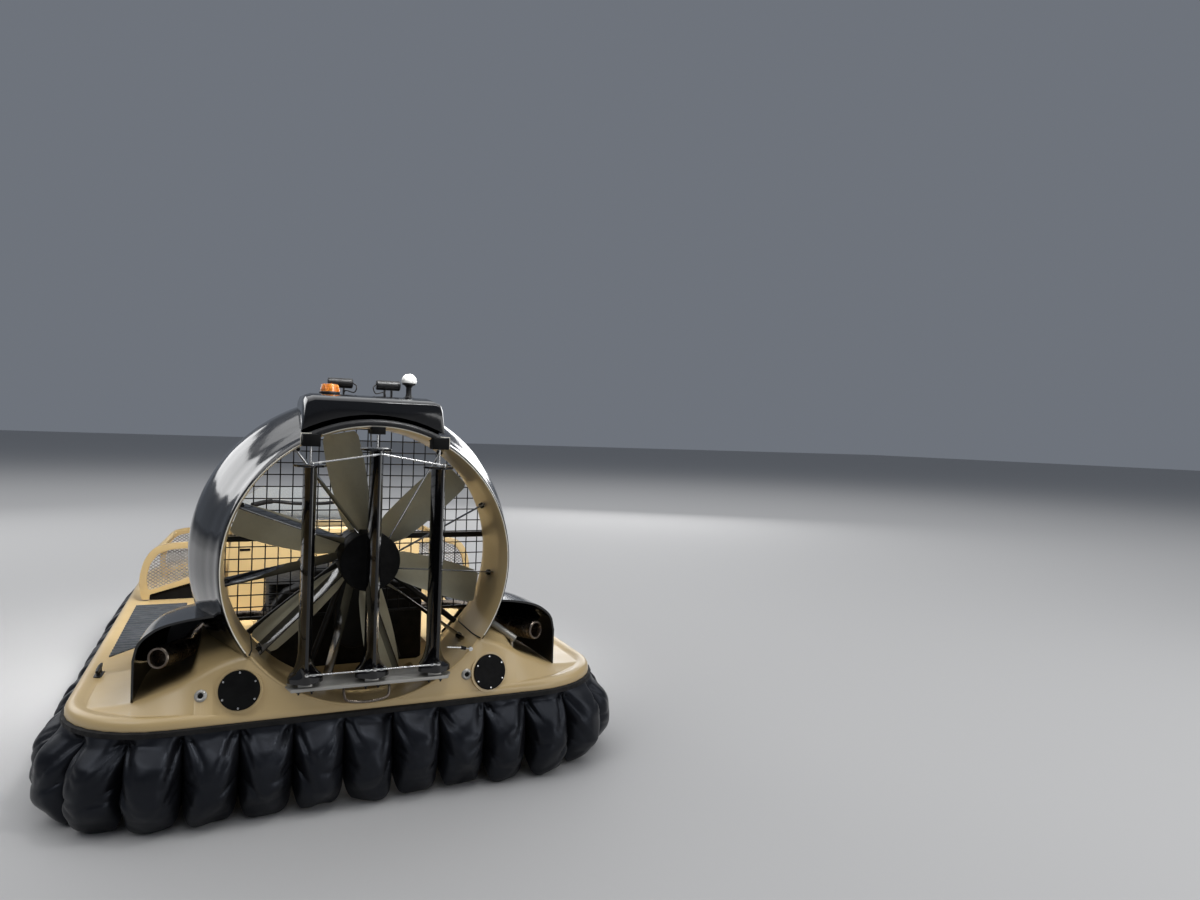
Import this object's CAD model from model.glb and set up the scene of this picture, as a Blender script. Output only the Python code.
# %% [markdown]
# # A light ducted-fan hovercraft, dressed piece by piece
#
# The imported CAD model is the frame: each piece below is built in the same metres, round the same
# axes, and rides on one of its bodies. +Y is the bow, +X is starboard and z = 0 is the ground.
# Sizes are written in millimetres from the stern edge of the hull, as on a builder's drawing, and
# `place` turns them into metres in the frame.

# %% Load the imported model
import bmesh
import bpy
import math
from random import Random
from mathutils import Euler, Matrix, Vector, noise


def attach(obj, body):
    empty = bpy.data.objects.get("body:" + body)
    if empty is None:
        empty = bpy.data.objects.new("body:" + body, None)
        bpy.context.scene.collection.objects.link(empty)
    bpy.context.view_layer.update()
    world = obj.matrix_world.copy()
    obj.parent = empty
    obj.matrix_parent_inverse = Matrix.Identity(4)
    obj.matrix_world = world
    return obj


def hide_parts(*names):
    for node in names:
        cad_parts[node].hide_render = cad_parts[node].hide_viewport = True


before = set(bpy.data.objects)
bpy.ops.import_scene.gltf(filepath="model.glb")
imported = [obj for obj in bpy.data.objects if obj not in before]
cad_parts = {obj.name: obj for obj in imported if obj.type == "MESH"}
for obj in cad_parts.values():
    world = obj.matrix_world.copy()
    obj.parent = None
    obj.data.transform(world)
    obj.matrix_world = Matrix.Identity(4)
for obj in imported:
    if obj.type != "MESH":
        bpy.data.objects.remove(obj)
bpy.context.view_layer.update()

# %% [markdown]
# ## Camera
#
# The view is the photograph's: a wide lens held at head height behind the port quarter. The lens
# comes from the focal length in pixels over an image 1200 pixels wide. Building the rotation from
# three axes keeps the small roll of a hand-held picture.

# %% Camera at the photograph's view
FOCAL_PIXELS = 794.5
IMAGE_WIDTH = 1200
SENSOR_WIDTH = 36
PITCH, ROLL, YAW = 0.0167, 0.0345, 0.4325
EYE = Vector((-0.4811, -4.9898, 1.3693))

forward = Vector((math.sin(YAW) * math.cos(PITCH), math.cos(YAW) * math.cos(PITCH), -math.sin(PITCH)))
level = Vector((math.cos(YAW), -math.sin(YAW), 0))
upright = level.cross(forward)
right = math.cos(ROLL) * level + math.sin(ROLL) * upright
up = -math.sin(ROLL) * level + math.cos(ROLL) * upright

camera_data = bpy.data.cameras.new("camera")
camera_data.sensor_fit = "HORIZONTAL"
camera_data.sensor_width = SENSOR_WIDTH
camera_data.lens = SENSOR_WIDTH * FOCAL_PIXELS / IMAGE_WIDTH
camera = bpy.data.objects.new("camera", camera_data)
camera.matrix_world = Matrix.Translation(EYE) @ Matrix((right, up, -forward)).transposed().to_4x4()
bpy.context.scene.collection.objects.link(camera)
bpy.context.scene.camera = camera
print("lens", round(camera_data.lens, 2), "mm")

# %% [markdown]
# ## Tools of the workshop
#
# A few helpers make every piece. `solid` closes a list of points and faces into one outward-facing
# skin, `loft` stretches a skin over sections, `turned` is a lathe, and `carve` is the saw. A table
# of stations with `smooth` between them gives fair curves without hundreds of typed numbers: the
# harmonic mean of the slopes never overshoots, which a plain cubic would.

# %% Places, tables and corners
STERN_EDGE = 2.0
SIDES = (("port", -1), ("starboard", 1))


def place(x, y, z):
    return Vector((x / 1000, y / 1000 - STERN_EDGE, z / 1000))


def slope(table, row, column):
    def step(low):
        return (table[low + 1][column] - table[low][column]) / (table[low + 1][0] - table[low][0])
    if row == 0 or row == len(table) - 1:
        return step(min(row, len(table) - 2))
    before, after = step(row - 1), step(row)
    return 0.0 if before * after <= 0 else 2 * before * after / (before + after)


def smooth(table, key):
    """Values of a table of rows (key, value, ...) between its stations."""
    key = min(max(key, table[0][0]), table[-1][0])
    row = max(i for i in range(len(table) - 1) if table[i][0] <= key)
    span = table[row + 1][0] - table[row][0]
    t = (key - table[row][0]) / span
    values = []
    for column in range(1, len(table[0])):
        start, end = table[row][column], table[row + 1][column]
        leave, arrive = slope(table, row, column) * span, slope(table, row + 1, column) * span
        values.append(start * (2 * t**3 - 3 * t**2 + 1) + leave * (t**3 - 2 * t**2 + t)
                      + end * (3 * t**2 - 2 * t**3) + arrive * (t**3 - t**2))
    return values


def steps(low, high, count):
    return [low + (high - low) * i / count for i in range(count + 1)]


def rounded(corners, cut, turns=5, closed=False):
    """A path of 2-D corners with each corner eased over the length cut."""
    path = []
    count = len(corners)
    for i, corner in enumerate(corners):
        here = Vector(corner)
        if not closed and i in (0, count - 1):
            path.append(here)
            continue
        before, after = Vector(corners[i - 1]) - here, Vector(corners[(i + 1) % count]) - here
        reach = min(cut, before.length / 2.02, after.length / 2.02)
        a, b = here + before.normalized() * reach, here + after.normalized() * reach
        path += [(1 - t) ** 2 * a + 2 * t * (1 - t) * here + t * t * b for t in steps(0, 1, turns)]
    return path


# %% [markdown]
# A mesh could be drawn by hand in edit mode, but a skin over sections is easier to read and to
# change, because each section is a formula. Doubles are merged and normals recalculated at once,
# so every skin is closed and faces outwards.

# %% Skins and lofts
def piece(name, mesh):
    made = bpy.data.objects.new(name, mesh)
    bpy.context.scene.collection.objects.link(made)
    return made


def solid(name, points, faces):
    mesh = bpy.data.meshes.new(name)
    mesh.from_pydata([tuple(p) for p in points], [], faces)
    tool = bmesh.new()
    tool.from_mesh(mesh)
    bmesh.ops.remove_doubles(tool, verts=tool.verts, dist=1e-5)
    bmesh.ops.recalc_face_normals(tool, faces=tool.faces)
    tool.to_mesh(mesh)
    tool.free()
    return piece(name, mesh)


def loft(name, rings, hoop=False, caps=True):
    count = len(rings[0])
    points = [p for ring in rings for p in ring]
    faces = []
    for r in range(len(rings) if hoop else len(rings) - 1):
        low, high = r * count, (r + 1) % len(rings) * count
        faces += [(low + i, low + (i + 1) % count, high + (i + 1) % count, high + i)
                  for i in range(count)]
    if caps and not hoop:
        faces.append(tuple(range(count))[::-1])
        faces.append(tuple(range(len(points) - count, len(points))))
    return solid(name, points, faces)


# %% [markdown]
# Round pieces are turned, as on a lathe, from half an outline. A Screw modifier would do the same,
# but a plain loft round an axis works at any angle and needs no empty to point it.

# %% Turnings and blocks
def across(axis):
    """Two directions at right angles to an axis."""
    first = axis.cross(Vector((0, 0, 1)) if abs(axis.z) < 0.9 else Vector((1, 0, 0))).normalized()
    return first, axis.cross(first).normalized()


def turned(name, origin, axis, profile, segments=48):
    """A closed profile of (radius, distance along the axis) in millimetres, turned all round."""
    axis = Vector(axis).normalized()
    a, b = across(axis)
    rings = []
    for k in range(segments):
        angle = 2 * math.pi * k / segments
        spoke = math.cos(angle) * a + math.sin(angle) * b
        rings.append([origin + (spoke * r + axis * s) / 1000 for r, s in profile])
    return loft(name, rings, hoop=True)


def block(name, x0, x1, y0, y1, z0, z1):
    rings = [[place(x0, y0, z), place(x1, y0, z), place(x1, y1, z), place(x0, y1, z)]
             for z in (z0, z1)]
    return loft(name, rings)


def full_width(name, y0, y1, z0, z1):
    """A block wider than the craft, to cut with."""
    return block(name, -1200, 1200, y0, y1, z0, z1)


# %% [markdown]
# Boolean cuts, bevels and other modifiers are run once, and their result is kept as a plain mesh.
# The Manifold solver is fast and keeps closed skins closed. An edge is eased because a perfectly
# sharp one never catches the light.

# %% Cuts, joints and eased edges
def settle(made):
    """Turns an object and its modifiers into one plain mesh."""
    bpy.context.view_layer.update()
    graph = bpy.context.evaluated_depsgraph_get()
    mesh = bpy.data.meshes.new_from_object(made.evaluated_get(graph))
    made.modifiers.clear()
    made.data = mesh
    return made


def carve(made, cutters, how="DIFFERENCE"):
    for cutter in cutters:
        cut = made.modifiers.new("cut", "BOOLEAN")
        cut.object, cut.operation, cut.solver = cutter, how, "MANIFOLD"
    settle(made)
    for cutter in cutters:
        bpy.data.objects.remove(cutter)
    return made


def joined(name, parts):
    tool = bmesh.new()
    for part in parts:
        tool.from_mesh(part.data)
        bpy.data.objects.remove(part)
    mesh = bpy.data.meshes.new(name)
    tool.to_mesh(mesh)
    tool.free()
    return piece(name, mesh)


def eased(made, width, segments=3, angle=35):
    """Rounds the sharp edges of a piece, as a mould or a file does."""
    bevel = made.modifiers.new("edge", "BEVEL")
    bevel.width, bevel.segments, bevel.limit_method = width / 1000, segments, "ANGLE"
    bevel.angle_limit = math.radians(angle)
    bevel.miter_outer = "MITER_ARC"
    return settle(made)


# %% [markdown]
# Some pieces keep the form of their CAD solid. Its mesh is loose triangles, so a copy is merged
# and its flat faces are joined before its edges are eased.

# %% Copies of CAD shapes
def copy_of(node, name=None):
    """The CAD node's shape as a clean mesh of flat faces, for a piece that takes its place."""
    tool = bmesh.new()
    tool.from_mesh(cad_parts[node].data)
    bmesh.ops.remove_doubles(tool, verts=tool.verts, dist=2e-5)
    bmesh.ops.dissolve_limit(tool, angle_limit=math.radians(0.7), verts=tool.verts,
                             edges=tool.edges, delimit={"NORMAL"})
    mesh = bpy.data.meshes.new(name or node)
    tool.to_mesh(mesh)
    tool.free()
    return piece(name or f"{node}_shape", mesh)


def largest(made):
    """Keeps the biggest separate shell of a mesh."""
    tool = bmesh.new()
    tool.from_mesh(made.data)
    left, shells = set(tool.verts), []
    while left:
        shell, edge = set(), [left.pop()]
        while edge:
            vert = edge.pop()
            shell.add(vert)
            near = [e.other_vert(vert) for e in vert.link_edges]
            edge += [v for v in near if v in left]
            left -= set(near)
        shells.append(shell)
    keep = max(shells, key=len)
    bmesh.ops.delete(tool, geom=[v for v in tool.verts if v not in keep])
    tool.to_mesh(made.data)
    tool.free()
    return made


# %% [markdown]
# ## Finishes
#
# A finish is never one flat colour. `surface` starts each from two near tones mixed in soft
# patches, a roughness that wanders a little, and a fine grain in the bump, all measured in metres
# on the object itself. Marks of the trade, such as weave, ribs or brushing, are added where a
# finish has them. Numbers that are the same all over sit on the shader itself.

# %% Node helper and the base finish
def node(tree, kind, inputs=None, **settings):
    made = tree.nodes.new(kind)
    for key, value in settings.items():
        setattr(made, key, value)
    for key, value in (inputs or {}).items():
        if isinstance(value, bpy.types.NodeSocket):
            tree.links.new(value, made.inputs[key])
        else:
            made.inputs[key].default_value = value
    return made


DUST = (0.21, 0.18, 0.14, 1)


def surface(name, tones, patch, roughness, grain, shader=None, dust=0.1, stretch=(1, 1, 1)):
    """tones: two colours; patch: size of a patch in metres; grain: size and depth in metres."""
    made = bpy.data.materials.new(name)
    made.use_nodes = True
    tree = made.node_tree
    skin = tree.nodes["Principled BSDF"]
    for key, value in (shader or {}).items():
        skin.inputs[key].default_value = value
    where = node(tree, "ShaderNodeTexCoord").outputs["Object"]
    spot = node(tree, "ShaderNodeMapping", {"Vector": where, "Scale": stretch}).outputs["Vector"]
    cloud = node(tree, "ShaderNodeTexNoise", {"Vector": spot, "Scale": 1 / patch, "Detail": 6.0})
    ramp = node(tree, "ShaderNodeValToRGB", {"Fac": cloud.outputs["Fac"]})
    ramp.color_ramp.elements[0].position, ramp.color_ramp.elements[1].position = 0.35, 0.65
    for stop, tone in zip(ramp.color_ramp.elements, tones):
        stop.color = (*tone, 1)
    speck = node(tree, "ShaderNodeTexNoise", {
        "Vector": spot, "Scale": 8 / patch, "Detail": 9.0, "Roughness": 0.7})
    film = node(tree, "ShaderNodeMapRange", {
        "Value": speck.outputs["Fac"], "From Min": 0.48, "From Max": 0.72, "To Max": dust})
    dusty = node(tree, "ShaderNodeMix", {
        0: film.outputs["Result"], 6: ramp.outputs["Color"], 7: DUST}, data_type="RGBA")
    tree.links.new(dusty.outputs[2], skin.inputs["Base Color"])
    rub = node(tree, "ShaderNodeTexNoise", {"Vector": spot, "Scale": 3.7 / patch, "Detail": 4.0})
    spread = node(tree, "ShaderNodeMapRange", {
        "Value": rub.outputs["Fac"], "From Min": 0.3, "From Max": 0.7,
        "To Min": roughness[0], "To Max": roughness[1]})
    tree.links.new(spread.outputs["Result"], skin.inputs["Roughness"])
    size, depth = grain
    fine = node(tree, "ShaderNodeTexNoise", {"Vector": spot, "Scale": 1 / size, "Detail": 3.0})
    relief = node(tree, "ShaderNodeBump", {
        "Height": fine.outputs["Fac"], "Distance": depth, "Strength": 1.0})
    tree.links.new(relief.outputs["Normal"], skin.inputs["Normal"])
    return made


def nodes_of(made):
    """The shader, the colour ramp and the bump of a finish made by surface."""
    found = {n.bl_idname: n for n in made.node_tree.nodes}
    return (found["ShaderNodeBsdfPrincipled"], found["ShaderNodeValToRGB"], found["ShaderNodeBump"])


# %% [markdown]
# The hull is sand-coloured gelcoat under a thin clear layer. The duct, the hoods and the rudders
# are black gelcoat, so glossy that they mirror the studio. Paint and plastic are duller, and that
# sets the fittings apart from the mouldings.

# %% Mouldings and paint
sand_gelcoat = surface(
    "sand gelcoat", ((0.51, 0.37, 0.175), (0.56, 0.41, 0.20)), 0.5, (0.28, 0.4),
    (0.004, 0.00005), {"Coat Weight": 0.3, "Coat Roughness": 0.26}, dust=0.05)
black_gelcoat = surface(
    "black gelcoat", ((0.002, 0.002, 0.0025), (0.004, 0.004, 0.005)), 0.4,
    (0.07, 0.15), (0.02, 0.0002), {"Coat Weight": 0.2, "Coat Roughness": 0.03}, dust=0.004)
satin_paint = surface(
    "satin black paint", ((0.004, 0.004, 0.0045), (0.009, 0.009, 0.010)), 0.08,
    (0.35, 0.55), (0.0012, 0.00006), {"Specular IOR Level": 0.35}, dust=0.012)
edge_gelcoat = surface(
    "pale gelcoat edge", ((0.74, 0.70, 0.60), (0.82, 0.78, 0.68)), 0.1, (0.2, 0.3),
    (0.004, 0.00005))
dull_black = surface(
    "dull black plastic", ((0.002, 0.002, 0.002), (0.005, 0.005, 0.005)), 0.06,
    (0.5, 0.7), (0.0008, 0.00005), {"Specular IOR Level": 0.12}, dust=0.005)
# %% [markdown]
# The skirt is cloth with a coating. Its sheen is soft and a little blue, because it shows the sky,
# and a fine grain stands for the weave. Rubber is rougher and has almost no sheen.

# %% Rubber and skirt fabric
rubber = surface(
    "rubber", ((0.004, 0.004, 0.004), (0.010, 0.009, 0.009)), 0.1, (0.6, 0.8),
    (0.002, 0.0001), {"Specular IOR Level": 0.3}, dust=0.03)
coated_fabric = surface(
    "coated skirt fabric", ((0.0035, 0.0035, 0.0045), (0.0075, 0.008, 0.010)), 0.3,
    (0.28, 0.42), (0.0014, 0.00012), {"Specular IOR Level": 0.3, "Specular Tint": (0.78, 0.85, 1, 1)},
    dust=0.012)
# %% [markdown]
# Metals differ in roughness and in the direction of their marks. The steel is brushed along its
# length, the silencers carry heat colours, and the castings are dark and coarse.

# %% Blades and metals
blade_moulding = surface(
    "pale blade moulding", ((0.60, 0.57, 0.42), (0.68, 0.65, 0.49)), 0.12,
    (0.28, 0.42), (0.003, 0.00008), {"Coat Weight": 0.2}, dust=0.15)
steel = surface(
    "brushed steel", ((0.62, 0.62, 0.61), (0.78, 0.78, 0.77)), 0.02, (0.18, 0.34),
    (0.0009, 0.00004), {"Metallic": 1.0}, stretch=(1, 1, 6))
hot_steel = surface(
    "heat-tinted steel", ((0.13, 0.10, 0.08), (0.28, 0.24, 0.20)), 0.05, (0.22, 0.38),
    (0.0012, 0.00005), {"Metallic": 1.0})
aluminium = surface(
    "dull aluminium", ((0.36, 0.35, 0.32), (0.46, 0.45, 0.42)), 0.05,
    (0.35, 0.5), (0.001, 0.00005), {"Metallic": 0.5}, stretch=(0.4, 1, 1))
casting = surface(
    "engine casting", ((0.006, 0.006, 0.006), (0.016, 0.015, 0.014)), 0.05,
    (0.45, 0.7), (0.0025, 0.0004), {"Specular IOR Level": 0.2}, dust=0.02)
# %% [markdown]
# The last finishes are the grip sheet, the expanded metal and the seat vinyl, and then the lens
# and the screen, which let light through.

# %% Sheets, vinyl and lenses
nonslip = surface(
    "ribbed non-slip sheet", ((0.022, 0.027, 0.033), (0.036, 0.042, 0.050)), 0.15,
    (0.6, 0.85), (0.0015, 0.0002))
expanded_metal = surface(
    "expanded metal", ((0.26, 0.25, 0.24), (0.38, 0.37, 0.35)), 0.03,
    (0.35, 0.6), (0.002, 0.0001), {"Metallic": 0.3})
vinyl = surface(
    "seat vinyl", ((0.008, 0.008, 0.009), (0.015, 0.014, 0.014)), 0.1,
    (0.4, 0.55), (0.0018, 0.0003))
amber = surface(
    "amber lens", ((0.85, 0.22, 0.01), (0.95, 0.34, 0.02)), 0.03, (0.08, 0.16),
    (0.004, 0.0002), {"Transmission Weight": 0.35, "Coat Weight": 0.5})
white_plastic = surface(
    "white plastic dome", ((0.70, 0.70, 0.67), (0.78, 0.78, 0.75)), 0.05,
    (0.3, 0.42), (0.002, 0.00005))
clear_sheet = surface(
    "clear sheet", ((0.86, 0.90, 0.90), (0.92, 0.95, 0.95)), 0.2, (0.02, 0.06),
    (0.01, 0.00003), {"Transmission Weight": 0.95, "IOR": 1.49}, dust=0.0)

# %% [markdown]
# The seat cover has a leather-like grain and the beacon's lens has flutes. Both are one more
# texture added to the height that the bump already reads, so they stay the right size.

# %% Grain and flutes
def add_height(made, height, share):
    """Adds a second pattern to a finish's bump."""
    tree = made.node_tree
    relief = nodes_of(made)[2]
    first = relief.inputs["Height"].links[0].from_socket
    total = node(tree, "ShaderNodeMath", {0: height, 1: share, 2: first}, operation="MULTIPLY_ADD")
    tree.links.new(total.outputs[0], relief.inputs["Height"])


def object_place(made):
    tree = made.node_tree
    return next(n for n in tree.nodes if n.bl_idname == "ShaderNodeMapping").outputs["Vector"]


pores = node(vinyl.node_tree, "ShaderNodeTexVoronoi", {
    "Vector": object_place(vinyl), "Scale": 420.0})
add_height(vinyl, pores.outputs["Distance"], 1.5)
flutes = node(amber.node_tree, "ShaderNodeTexWave", {
    "Vector": object_place(amber), "Scale": 60.0}, bands_direction="Z")
add_height(amber, flutes.outputs["Fac"], 3.0)


def dress(made, finish, body="hull", instead=(), angle=35):
    """Gives a finished shape its surface, its body and the CAD nodes that it stands for."""
    made.data.materials.clear()
    made.data.materials.append(finish)
    made.data.shade_smooth()
    made.data.set_sharp_from_angle(angle=math.radians(angle))
    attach(made, body)
    if instead:
        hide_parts(*instead)
    print(f"{made.name}: {len(made.data.polygons)} faces")
    return made


# %% [markdown]
# ## Repeats and tubes with Geometry Nodes
#
# Screws, wires, blades and mesh all repeat. One node tree places a part on points that carry their
# own turn, and another thickens edges into tube. Writing the rule once and feeding it places is
# easier to change than copies, and the result is made a plain mesh at the end.

# %% The two node trees
def new_tree(name, inputs):
    tree = bpy.data.node_groups.new(name, "GeometryNodeTree")
    sockets = {}
    for label, kind in (("Geometry", "Geometry"), *inputs):
        sockets[label] = tree.interface.new_socket(
            label, in_out="INPUT", socket_type=f"NodeSocket{kind}")
    tree.interface.new_socket("Geometry", in_out="OUTPUT", socket_type="NodeSocketGeometry")
    given = node(tree, "NodeGroupInput").outputs
    return tree, sockets, given


def finish_tree(tree, geometry, material):
    real = node(tree, "GeometryNodeRealizeInstances", {"Geometry": geometry})
    coated = node(tree, "GeometryNodeSetMaterial", {
        "Geometry": real.outputs["Geometry"], "Material": material})
    node(tree, "NodeGroupOutput", {"Geometry": coated.outputs["Geometry"]})


repeat_tree, REPEAT, given = new_tree("parts on points", (
    ("Part", "Object"), ("Size", "Float"), ("Finish", "Material")))
turn = node(repeat_tree, "GeometryNodeInputNamedAttribute", {"Name": "turn"},
            data_type="FLOAT_VECTOR")
spin = node(repeat_tree, "FunctionNodeEulerToRotation", {"Euler": turn.outputs["Attribute"]})
source = node(repeat_tree, "GeometryNodeObjectInfo", {"Object": given["Part"]})
copies = node(repeat_tree, "GeometryNodeInstanceOnPoints", {
    "Points": given["Geometry"], "Instance": source.outputs["Geometry"],
    "Rotation": spin.outputs["Rotation"], "Scale": given["Size"]})
finish_tree(repeat_tree, copies.outputs["Instances"], given["Finish"])

tube_tree, TUBE, given = new_tree("tubes on edges", (
    ("Radius", "Float"), ("Sides", "Int"), ("Finish", "Material")))
lines = node(tube_tree, "GeometryNodeMeshToCurve", {"Mesh": given["Geometry"]})
circle = node(tube_tree, "GeometryNodeCurvePrimitiveCircle", {
    "Resolution": given["Sides"], "Radius": given["Radius"]})
pipe = node(tube_tree, "GeometryNodeCurveToMesh", {
    "Curve": lines.outputs["Curve"], "Profile Curve": circle.outputs["Curve"], "Fill Caps": True})
finish_tree(tube_tree, pipe.outputs["Mesh"], given["Finish"])


# %% [markdown]
# `run_tree` puts a tree on a piece as a modifier, sets its inputs by their identifiers, and keeps
# the result as a plain mesh. `repeat` and `tubes` are its two uses. `bent` draws the smooth path
# of a bent tube through a few points.

# %% Using the trees
def run_tree(made, tree, sockets, values):
    grow = made.modifiers.new("grow", "NODES")
    grow.node_group = tree
    for label, value in values.items():
        grow[sockets[label].identifier] = value
    return settle(made)


def repeat(name, part, spots, finish, size=1.0):
    """Copies of part at spots, a list of (place, direction or turn)."""
    mesh = bpy.data.meshes.new(name)
    mesh.from_pydata([tuple(p) for p, _ in spots], [], [])
    turns = mesh.attributes.new("turn", "FLOAT_VECTOR", "POINT")
    for item, (_, way) in zip(turns.data, spots):
        item.vector = way if isinstance(way, Euler) else way.to_track_quat("Z", "Y").to_euler()
    made = run_tree(piece(name, mesh), repeat_tree, REPEAT,
                    {"Part": part, "Size": size, "Finish": finish})
    bpy.data.objects.remove(part)
    return made


def tubes(name, paths, radius, finish, sides=12):
    """Round bar along each path of points."""
    points, edges = [], []
    for path in paths:
        edges += [(len(points) + i, len(points) + i + 1) for i in range(len(path) - 1)]
        points += [tuple(p) for p in path]
    mesh = bpy.data.meshes.new(name)
    mesh.from_pydata(points, edges, [])
    return run_tree(piece(name, mesh), tube_tree, TUBE,
                    {"Radius": radius / 1000, "Sides": sides, "Finish": finish})


def bent(points, steps_each=8):
    """A smooth path through points, for a bent tube."""
    knots = [2 * points[0] - points[1], *points, 2 * points[-1] - points[-2]]
    path = []
    for a, b, c, d in zip(knots, knots[1:], knots[2:], knots[3:]):
        for t in steps(0, 1, steps_each)[:-1]:
            path.append(0.5 * (2 * b + (c - a) * t + (2 * a - 5 * b + 4 * c - d) * t * t
                               + (3 * b - a - 3 * c + d) * t**3))
    return path + [points[-1]]


# %% [markdown]
# ## Hull rim and decks
#
# The hull is a glass-fibre tub with a rolled bead all round the deck and, at the stern, a hump that
# swells up to carry the duct. On the real craft this is one moulding, so it is built as one skin
# from fair sections and then sawn: the bore of the duct, the engine bay, the lift shaft and the
# cockpit well are cut out, and pads are raised for the round hatches. Under the bow lid the foredeck
# has a shallow locker, with a ledge all round that the lid rests on.

# %% The rim in plan
RIM_LENGTH, RIM_HALF_BEAM = 4000, 1000
STERN_CORNER, BOW_START, BOW_FULLNESS = 340, 2700, 0.62


def half_rim():
    """Dense points of the starboard half of the rim, from the stern's middle to the bow."""
    flat = RIM_HALF_BEAM - STERN_CORNER
    path = [(flat * t, 0.0) for t in steps(0, 1, 60)]
    for t in steps(-math.pi / 2, 0, 60)[1:]:
        path.append((flat + STERN_CORNER * math.cos(t), STERN_CORNER + STERN_CORNER * math.sin(t)))
    path += [(RIM_HALF_BEAM, y) for y in steps(STERN_CORNER, BOW_START, 200)[1:]]
    pull_y = BOW_START + BOW_FULLNESS * (RIM_LENGTH - BOW_START)
    pull_x = BOW_FULLNESS * RIM_HALF_BEAM
    for t in steps(0, 1, 200)[1:]:
        weights = ((1 - t) ** 3, 3 * t * (1 - t) ** 2, 3 * t * t * (1 - t), t**3)
        xs = (RIM_HALF_BEAM, RIM_HALF_BEAM, pull_x, 0)
        ys = (BOW_START, pull_y, RIM_LENGTH, RIM_LENGTH)
        path.append((sum(w * x for w, x in zip(weights, xs)), sum(w * y for w, y in zip(weights, ys))))
    return path


# %% [markdown]
# Fingers and deck sections are spaced along the rim, so a place is asked for by its share of the
# way round. A coarse list of lengths finds the stretch quickly, and the finer one gives the place.
# A curve object could do this too, but a function answers without evaluating.

# %% Running round the rim
HALF_RIM = half_rim()
HALF_RUN = [0.0]
for (x0, y0), (x1, y1) in zip(HALF_RIM, HALF_RIM[1:]):
    HALF_RUN.append(HALF_RUN[-1] + math.hypot(x1 - x0, y1 - y0))
RIM_RUN = 2 * HALF_RUN[-1]


def rim_at(share):
    """Place and outward way in plan, for a share of the rim counted from the stern's middle."""
    share %= 1
    side = 1 if share <= 0.5 else -1
    run = RIM_RUN * (share if side > 0 else 1 - share)
    i = min(max(sum(1 for s in COARSE_RUN if s <= run) * COARSE - COARSE, 0), len(HALF_RUN) - 2)
    while i < len(HALF_RUN) - 2 and HALF_RUN[i + 1] < run:
        i += 1
    (x0, y0), (x1, y1) = HALF_RIM[i], HALF_RIM[i + 1]
    t = (run - HALF_RUN[i]) / (HALF_RUN[i + 1] - HALF_RUN[i])
    low, high = max(i - 2, 0), min(i + 3, len(HALF_RIM) - 1)
    along = Vector((HALF_RIM[high][0] - HALF_RIM[low][0], HALF_RIM[high][1] - HALF_RIM[low][1]))
    if i < 3 or i > len(HALF_RIM) - 5:
        along = Vector((1.0 if i < 3 else -1.0, 0.0))
    along.normalize()
    return (side * (x0 + (x1 - x0) * t), y0 + (y1 - y0) * t), (side * along.y, -along.x)


COARSE = 20
COARSE_RUN = HALF_RUN[::COARSE]
print("rim is", round(RIM_RUN), "mm round")

# %% [markdown]
# The deck is one slab whose edge follows the rolled bead. The hump is a row of sections across the
# craft that rises to the foot of the duct, and the foredeck is a low dome made the same way.
# Sculpting would be freer, but sections keep both sides alike.

# %% Sections of the deck and the hump
DECK_PROFILE = ((0, 340.3), (0, 352), (3, 362), (8, 369.5), (16, 375), (28, 377), (42, 376),
                (54, 372.5), (64, 370))
HUMP = ((0, 30, 565, 565), (410, 30, 565, 565), (460, 46, 551, 565), (505, 62, 533, 565),
        (570, 80, 497, 565), (600, 90, 479, 455), (630, 100, 461, 440), (690, 120, 433, 420),
        (750, 140, 406, 400), (810, 160, 388, 388), (870, 180, 379, 379), (925, 200, 373, 373))
FOREDECK = ((3062, 690, 690), (3250, 690, 668), (3500, 620, 610), (3720, 470, 520),
            (3850, 300, 440), (3915, 130, 388), (3930, 60, 374))
DECK_Z, SEAM_Y, BAY_REAR = 370, 1970, 600
DUCT_Z, DUCT_FOOT_Z = 866, 565


def deck_slab(name, stations=260):
    rim = [rim_at(k / stations) for k in range(stations)]
    rings = [[place(x - inset * ox, y - inset * oy, z) for (x, y), (ox, oy) in rim]
             for inset, z in DECK_PROFILE]
    return loft(name, rings)


def stern_edge(x):
    past = abs(x) - (RIM_HALF_BEAM - STERN_CORNER)
    return 0 if past <= 0 else STERN_CORNER - math.sqrt(STERN_CORNER**2 - past**2)


def stern_hump(name, lift=0):
    rings = []
    for x in steps(-925, 925, 200):
        ridge_y, ridge_z, shoulder_z = smooth(HUMP, abs(x))
        edge = stern_edge(x)
        corners = [(edge + 2, 345), (ridge_y - 14, ridge_z - 10), (ridge_y + 8, ridge_z),
                   (350, shoulder_z), (625, shoulder_z), (680, 366), (680, 345)]
        rings.append([place(x, y, z + lift) for y, z in rounded(corners, 26)])
    return loft(name, rings)


def foredeck(name, lift=0, sides=48):
    rings = []
    foot = DECK_Z - 6
    for y in steps(3062, 3930, 48):
        half, crown = smooth(FOREDECK, y)
        ring = []
        for angle in steps(0, math.pi, sides):
            x = half * math.copysign(abs(math.cos(angle)) ** 0.6, math.cos(angle))
            ring.append(place(x, y, foot + (crown - foot) * max(math.sin(angle), 0) ** 0.6 + lift))
        rings.append(ring + [place(-half, y, 350), place(half, y, 350)])
    return loft(name, rings)


# %% [markdown]
# The two walls of the duct are tables of radius along its axis. The same tables cut the hull, so
# the duct and its seat always fit.

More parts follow.
